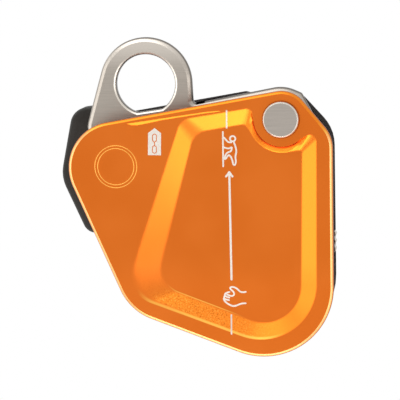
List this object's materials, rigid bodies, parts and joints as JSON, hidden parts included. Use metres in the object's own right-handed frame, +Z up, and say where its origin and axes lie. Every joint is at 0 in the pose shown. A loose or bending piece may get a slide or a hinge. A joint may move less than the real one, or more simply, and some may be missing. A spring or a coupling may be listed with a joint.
{
  "type": "assisted braking belay device",
  "caption": "Climbing belay device: swinging anodised side plate with a pressed panel, steel eye plate, braking cam, release lever and black rear housing.",
  "frame": {"origin": "centre of the eye's hole, on the steel plate's middle plane", "axes": "+X right and +Z up as the side plate is looked at, -Y out of the side plate towards the viewer"},
  "size_m": [0.0894, 0.0355, 0.0995],
  "materials": {
    "orange_aluminium": "orange anodised over a fine satin, bright bevelled edge",
    "brushed_steel": "brushed stainless, polished bevels",
    "hardened_steel": "hardened, fine ground",
    "bronze": "turned bronze",
    "black_nylon": "moulded, fine texture",
    "grip_grey": "soft-touch moulded"
  },
  "bodies": {
    "frame": {"eye_plate": "brushed_steel", "rear_housing": "black_nylon", "rear_cover": "black_nylon", "housing_screw_1": "brushed_steel", "housing_screw_2": "brushed_steel", "housing_screw_3": "brushed_steel", "housing_screw_4": "brushed_steel", "pivot_rivet": "brushed_steel", "pivot_spacer": "hardened_steel", "pivot_collar": "brushed_steel", "cam_bearing": "bronze", "cam_stop_pin": "hardened_steel", "spring_post": "hardened_steel", "cam_spring": "hardened_steel", "lever_axle": "hardened_steel", "brake_block": "hardened_steel", "block_rivet_1": "brushed_steel", "block_rivet_2": "brushed_steel", "rope_guide_1": "hardened_steel", "rope_guide_2": "hardened_steel", "catch_spring": "hardened_steel"},
    "side_plate": {"side_plate": "orange_aluminium", "plate_bush": "bronze"},
    "cam": {"brake_cam": "hardened_steel", "cam_axle": "hardened_steel", "cam_arm": "brushed_steel", "cam_clip": "hardened_steel"},
    "lever": {"release_lever": "grip_grey", "lever_bush": "bronze", "lever_drive_pin": "hardened_steel"},
    "catch": {"catch_slider": "brushed_steel", "catch_post": "hardened_steel"}
  },
  "joints": [
    {"name": "side_plate_swing", "type": "hinge", "parent": "frame", "child": "side_plate", "pos_m": [0.0447, 0, -0.0097], "axis": [0, 1, 0], "range_deg": [0, 100]},
    {"name": "lever_pull", "type": "hinge", "parent": "frame", "child": "lever", "pos_m": [-0.0065, 0, -0.0385], "axis": [0, -1, 0], "range_deg": [0, 42], "stiffness_Nm_per_rad": 0.02, "springref_deg": -34.38},
    {"name": "cam_turn", "type": "hinge", "parent": "frame", "child": "cam", "pos_m": [0.012, 0, -0.048], "axis": [0, 1, 0], "range_deg": [0, 17]},
    {"name": "catch_slide", "type": "slide", "parent": "frame", "child": "catch", "axis": [0, 0, -1], "range_m": [0, 0.003], "stiffness_N_per_m": 300, "springref_m": -0.003, "deforming": ["catch_spring"]}
  ],
  "couplings": [
    {"joint": "cam_turn", "follows": "lever_pull", "ratio": 0.401}
  ]
}
